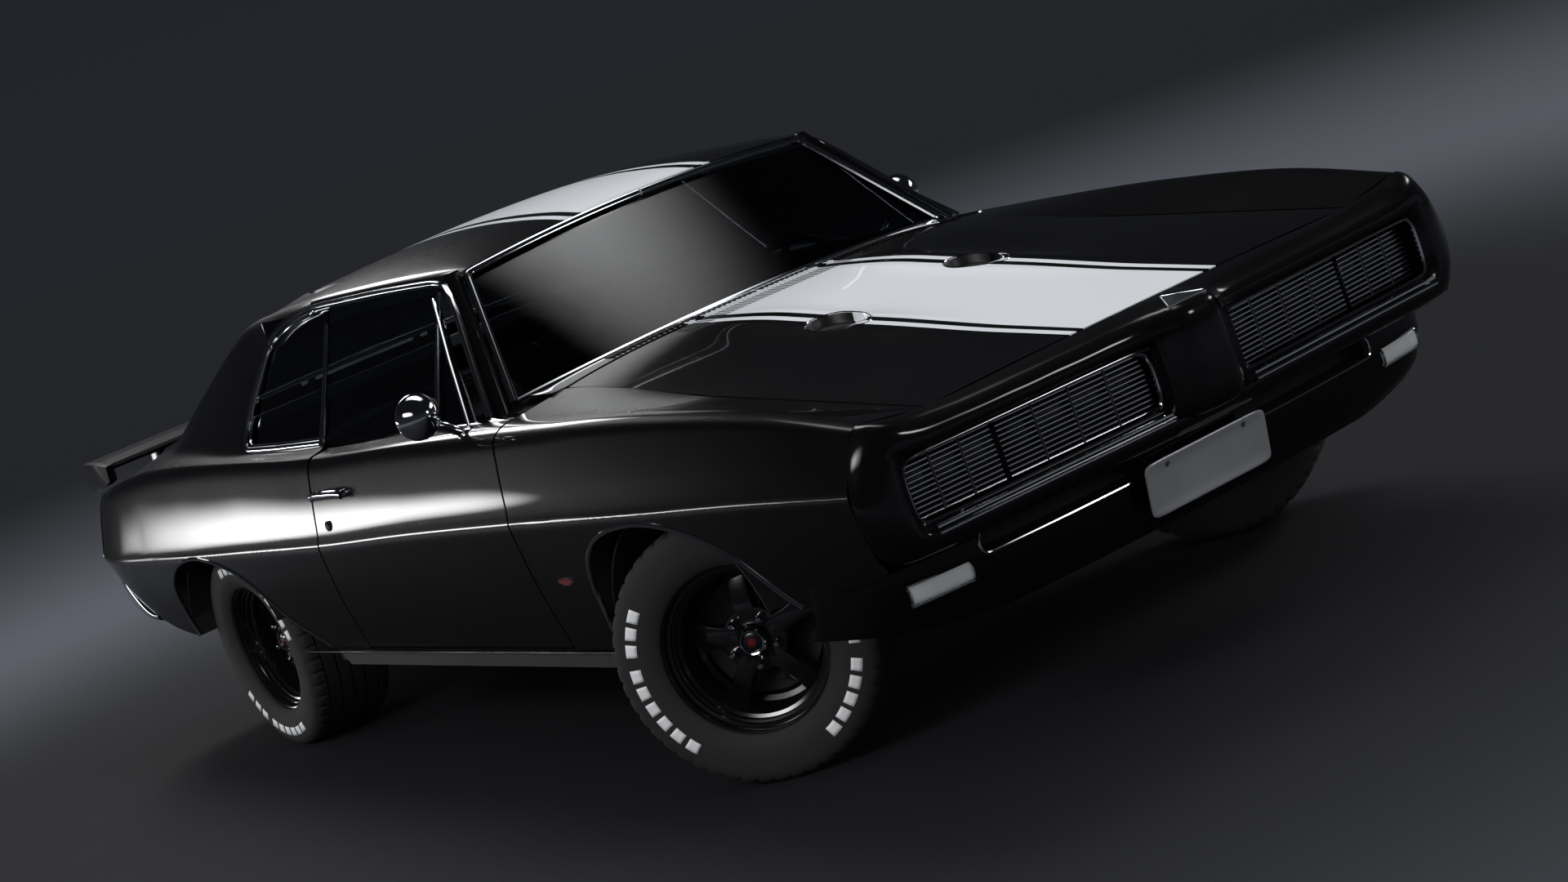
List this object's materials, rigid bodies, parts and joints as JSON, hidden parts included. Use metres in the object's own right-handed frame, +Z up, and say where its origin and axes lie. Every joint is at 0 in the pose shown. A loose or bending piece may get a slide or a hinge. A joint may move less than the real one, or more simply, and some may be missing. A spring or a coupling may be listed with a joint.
{
  "type": "two-door hardtop coupe muscle car",
  "caption": "Two-door hardtop coupe with opening doors, hood and boot lid, steered front wheels and free rolling wheels.",
  "frame": {"origin": "on the ground under the middle of the car's length and width", "axes": "+X forward, +Y to the car's left, +Z up"},
  "size_m": [5.098, 2.073, 1.395],
  "materials": {
    "body_paint": "gloss",
    "chassis_black": "satin",
    "cast_steel": "matte",
    "engine_iron": "satin",
    "tank_steel": "satin",
    "exhaust_steel": "satin",
    "tinted_glass": "gloss",
    "clear_lens": "gloss",
    "red_lens": "gloss",
    "plate_metal": "satin",
    "grille_black": "matte",
    "chrome_trim": "gloss",
    "dash_vinyl": "matte",
    "wheel_plastic": "gloss",
    "seat_vinyl": "satin",
    "tyre_rubber": "matte",
    "rim_paint": "gloss"
  },
  "bodies": {
    "body": {"chassis_frame": "chassis_black", "floor_pan": "chassis_black", "cowl": "body_paint", "front_bumper": "body_paint", "front_valance": "body_paint", "grille_inserts": "grille_black", "turn_lamps": "clear_lens", "licence_plate": "plate_metal", "front_fenders": "body_paint", "wheelhouses": "chassis_black", "rocker_panels": "chassis_black", "quarter_panels": "body_paint", "roof": "body_paint", "windshield": "tinted_glass", "rear_window": "tinted_glass", "quarter_windows": "tinted_glass", "tail_panel": "body_paint", "tail_lamps": "red_lens", "rear_bumper": "chrome_trim", "dashboard": "dash_vinyl", "front_seats": "seat_vinyl", "rear_seat": "seat_vinyl", "engine": "engine_iron", "fuel_tank": "tank_steel", "exhaust": "exhaust_steel", "rear_axle": "cast_steel", "driveshaft": "cast_steel", "front_suspension": "cast_steel", "parcel_shelf": "dash_vinyl", "head_lamps": "clear_lens"},
    "hood": {"hood": "body_paint"},
    "decklid": {"decklid": "body_paint", "rear_spoiler": "body_paint"},
    "door_left": {"door_left": "body_paint", "door_glass_left": "tinted_glass", "mirror_left": "chrome_trim"},
    "door_right": {"door_right": "body_paint", "door_glass_right": "tinted_glass", "mirror_right": "chrome_trim"},
    "steering_wheel": {"steering_wheel": "wheel_plastic"},
    "headlamp_door_left": {"headlamp_door_left": "grille_black"},
    "headlamp_door_right": {"headlamp_door_right": "grille_black"},
    "knuckle_left": {"knuckle_left": "cast_steel"},
    "knuckle_right": {"knuckle_right": "cast_steel"},
    "front_wheel_left": {"front_tyre_left": "tyre_rubber", "front_rim_left": "rim_paint"},
    "front_wheel_right": {"front_tyre_right": "tyre_rubber", "front_rim_right": "rim_paint"},
    "rear_wheel_left": {"rear_tyre_left": "tyre_rubber", "rear_rim_left": "rim_paint"},
    "rear_wheel_right": {"rear_tyre_right": "tyre_rubber", "rear_rim_right": "rim_paint"}
  },
  "joints": [
    {"name": "steer_left", "type": "hinge", "parent": "body", "child": "knuckle_left", "pos_m": [1.514, 0.734, 0.33], "axis": [0, 0, 1], "range_deg": [-76, 0]},
    {"name": "front_spin_left", "type": "hinge", "parent": "knuckle_left", "child": "front_wheel_left", "pos_m": [1.49676, 0.75606, 0.33], "axis": [-0.6157, 0.788, 0], "continuous": true},
    {"name": "rear_spin_left", "type": "hinge", "parent": "body", "child": "rear_wheel_left", "pos_m": [-1.331, 0.712, 0.33], "axis": [0, 1, 0], "continuous": true},
    {"name": "door_left_hinge", "type": "hinge", "parent": "body", "child": "door_left", "pos_m": [0.851, 0.947, 0.65], "axis": [0, 0, -1], "range_deg": [0, 66]},
    {"name": "steer_right", "type": "hinge", "parent": "body", "child": "knuckle_right", "pos_m": [1.514, -0.734, 0.33], "axis": [0, 0, 1], "range_deg": [-76, 0]},
    {"name": "front_spin_right", "type": "hinge", "parent": "knuckle_right", "child": "front_wheel_right", "pos_m": [1.53124, -0.75606, 0.33], "axis": [-0.6157, 0.788, 0], "continuous": true},
    {"name": "rear_spin_right", "type": "hinge", "parent": "body", "child": "rear_wheel_right", "pos_m": [-1.331, -0.712, 0.33], "axis": [0, 1, 0], "continuous": true},
    {"name": "door_right_hinge", "type": "hinge", "parent": "body", "child": "door_right", "pos_m": [0.851, -0.947, 0.65], "axis": [0, 0, 1], "range_deg": [0, 66]},
    {"name": "headlamp_door_left_hinge", "type": "hinge", "parent": "body", "child": "headlamp_door_left", "pos_m": [2.309, 0.534, 0.665], "axis": [-0.0968, 0.9953, 0], "range_deg": [0, 90]},
    {"name": "headlamp_door_right_hinge", "type": "hinge", "parent": "body", "child": "headlamp_door_right", "pos_m": [2.309, -0.534, 0.665], "axis": [0.0968, 0.9953, 0], "range_deg": [0, 90]},
    {"name": "steering_wheel_turn", "type": "hinge", "parent": "body", "child": "steering_wheel", "pos_m": [0.394, 0.36, 0.88], "axis": [-0.9135, 0, 0.4067], "range_deg": [-1140, 0]},
    {"name": "hood_hinge", "type": "hinge", "parent": "body", "child": "hood", "pos_m": [0.779, 0, 1.008], "axis": [0, -1, 0], "range_deg": [0, 50]},
    {"name": "decklid_hinge", "type": "hinge", "parent": "body", "child": "decklid", "pos_m": [-1.676, 0, 1.032], "axis": [0, 1, 0], "range_deg": [0, 60]}
  ],
  "couplings": [
    {"joint": "steer_right", "follows": "steer_left", "ratio": 1},
    {"joint": "steering_wheel_turn", "follows": "steer_left", "ratio": 15}
  ]
}
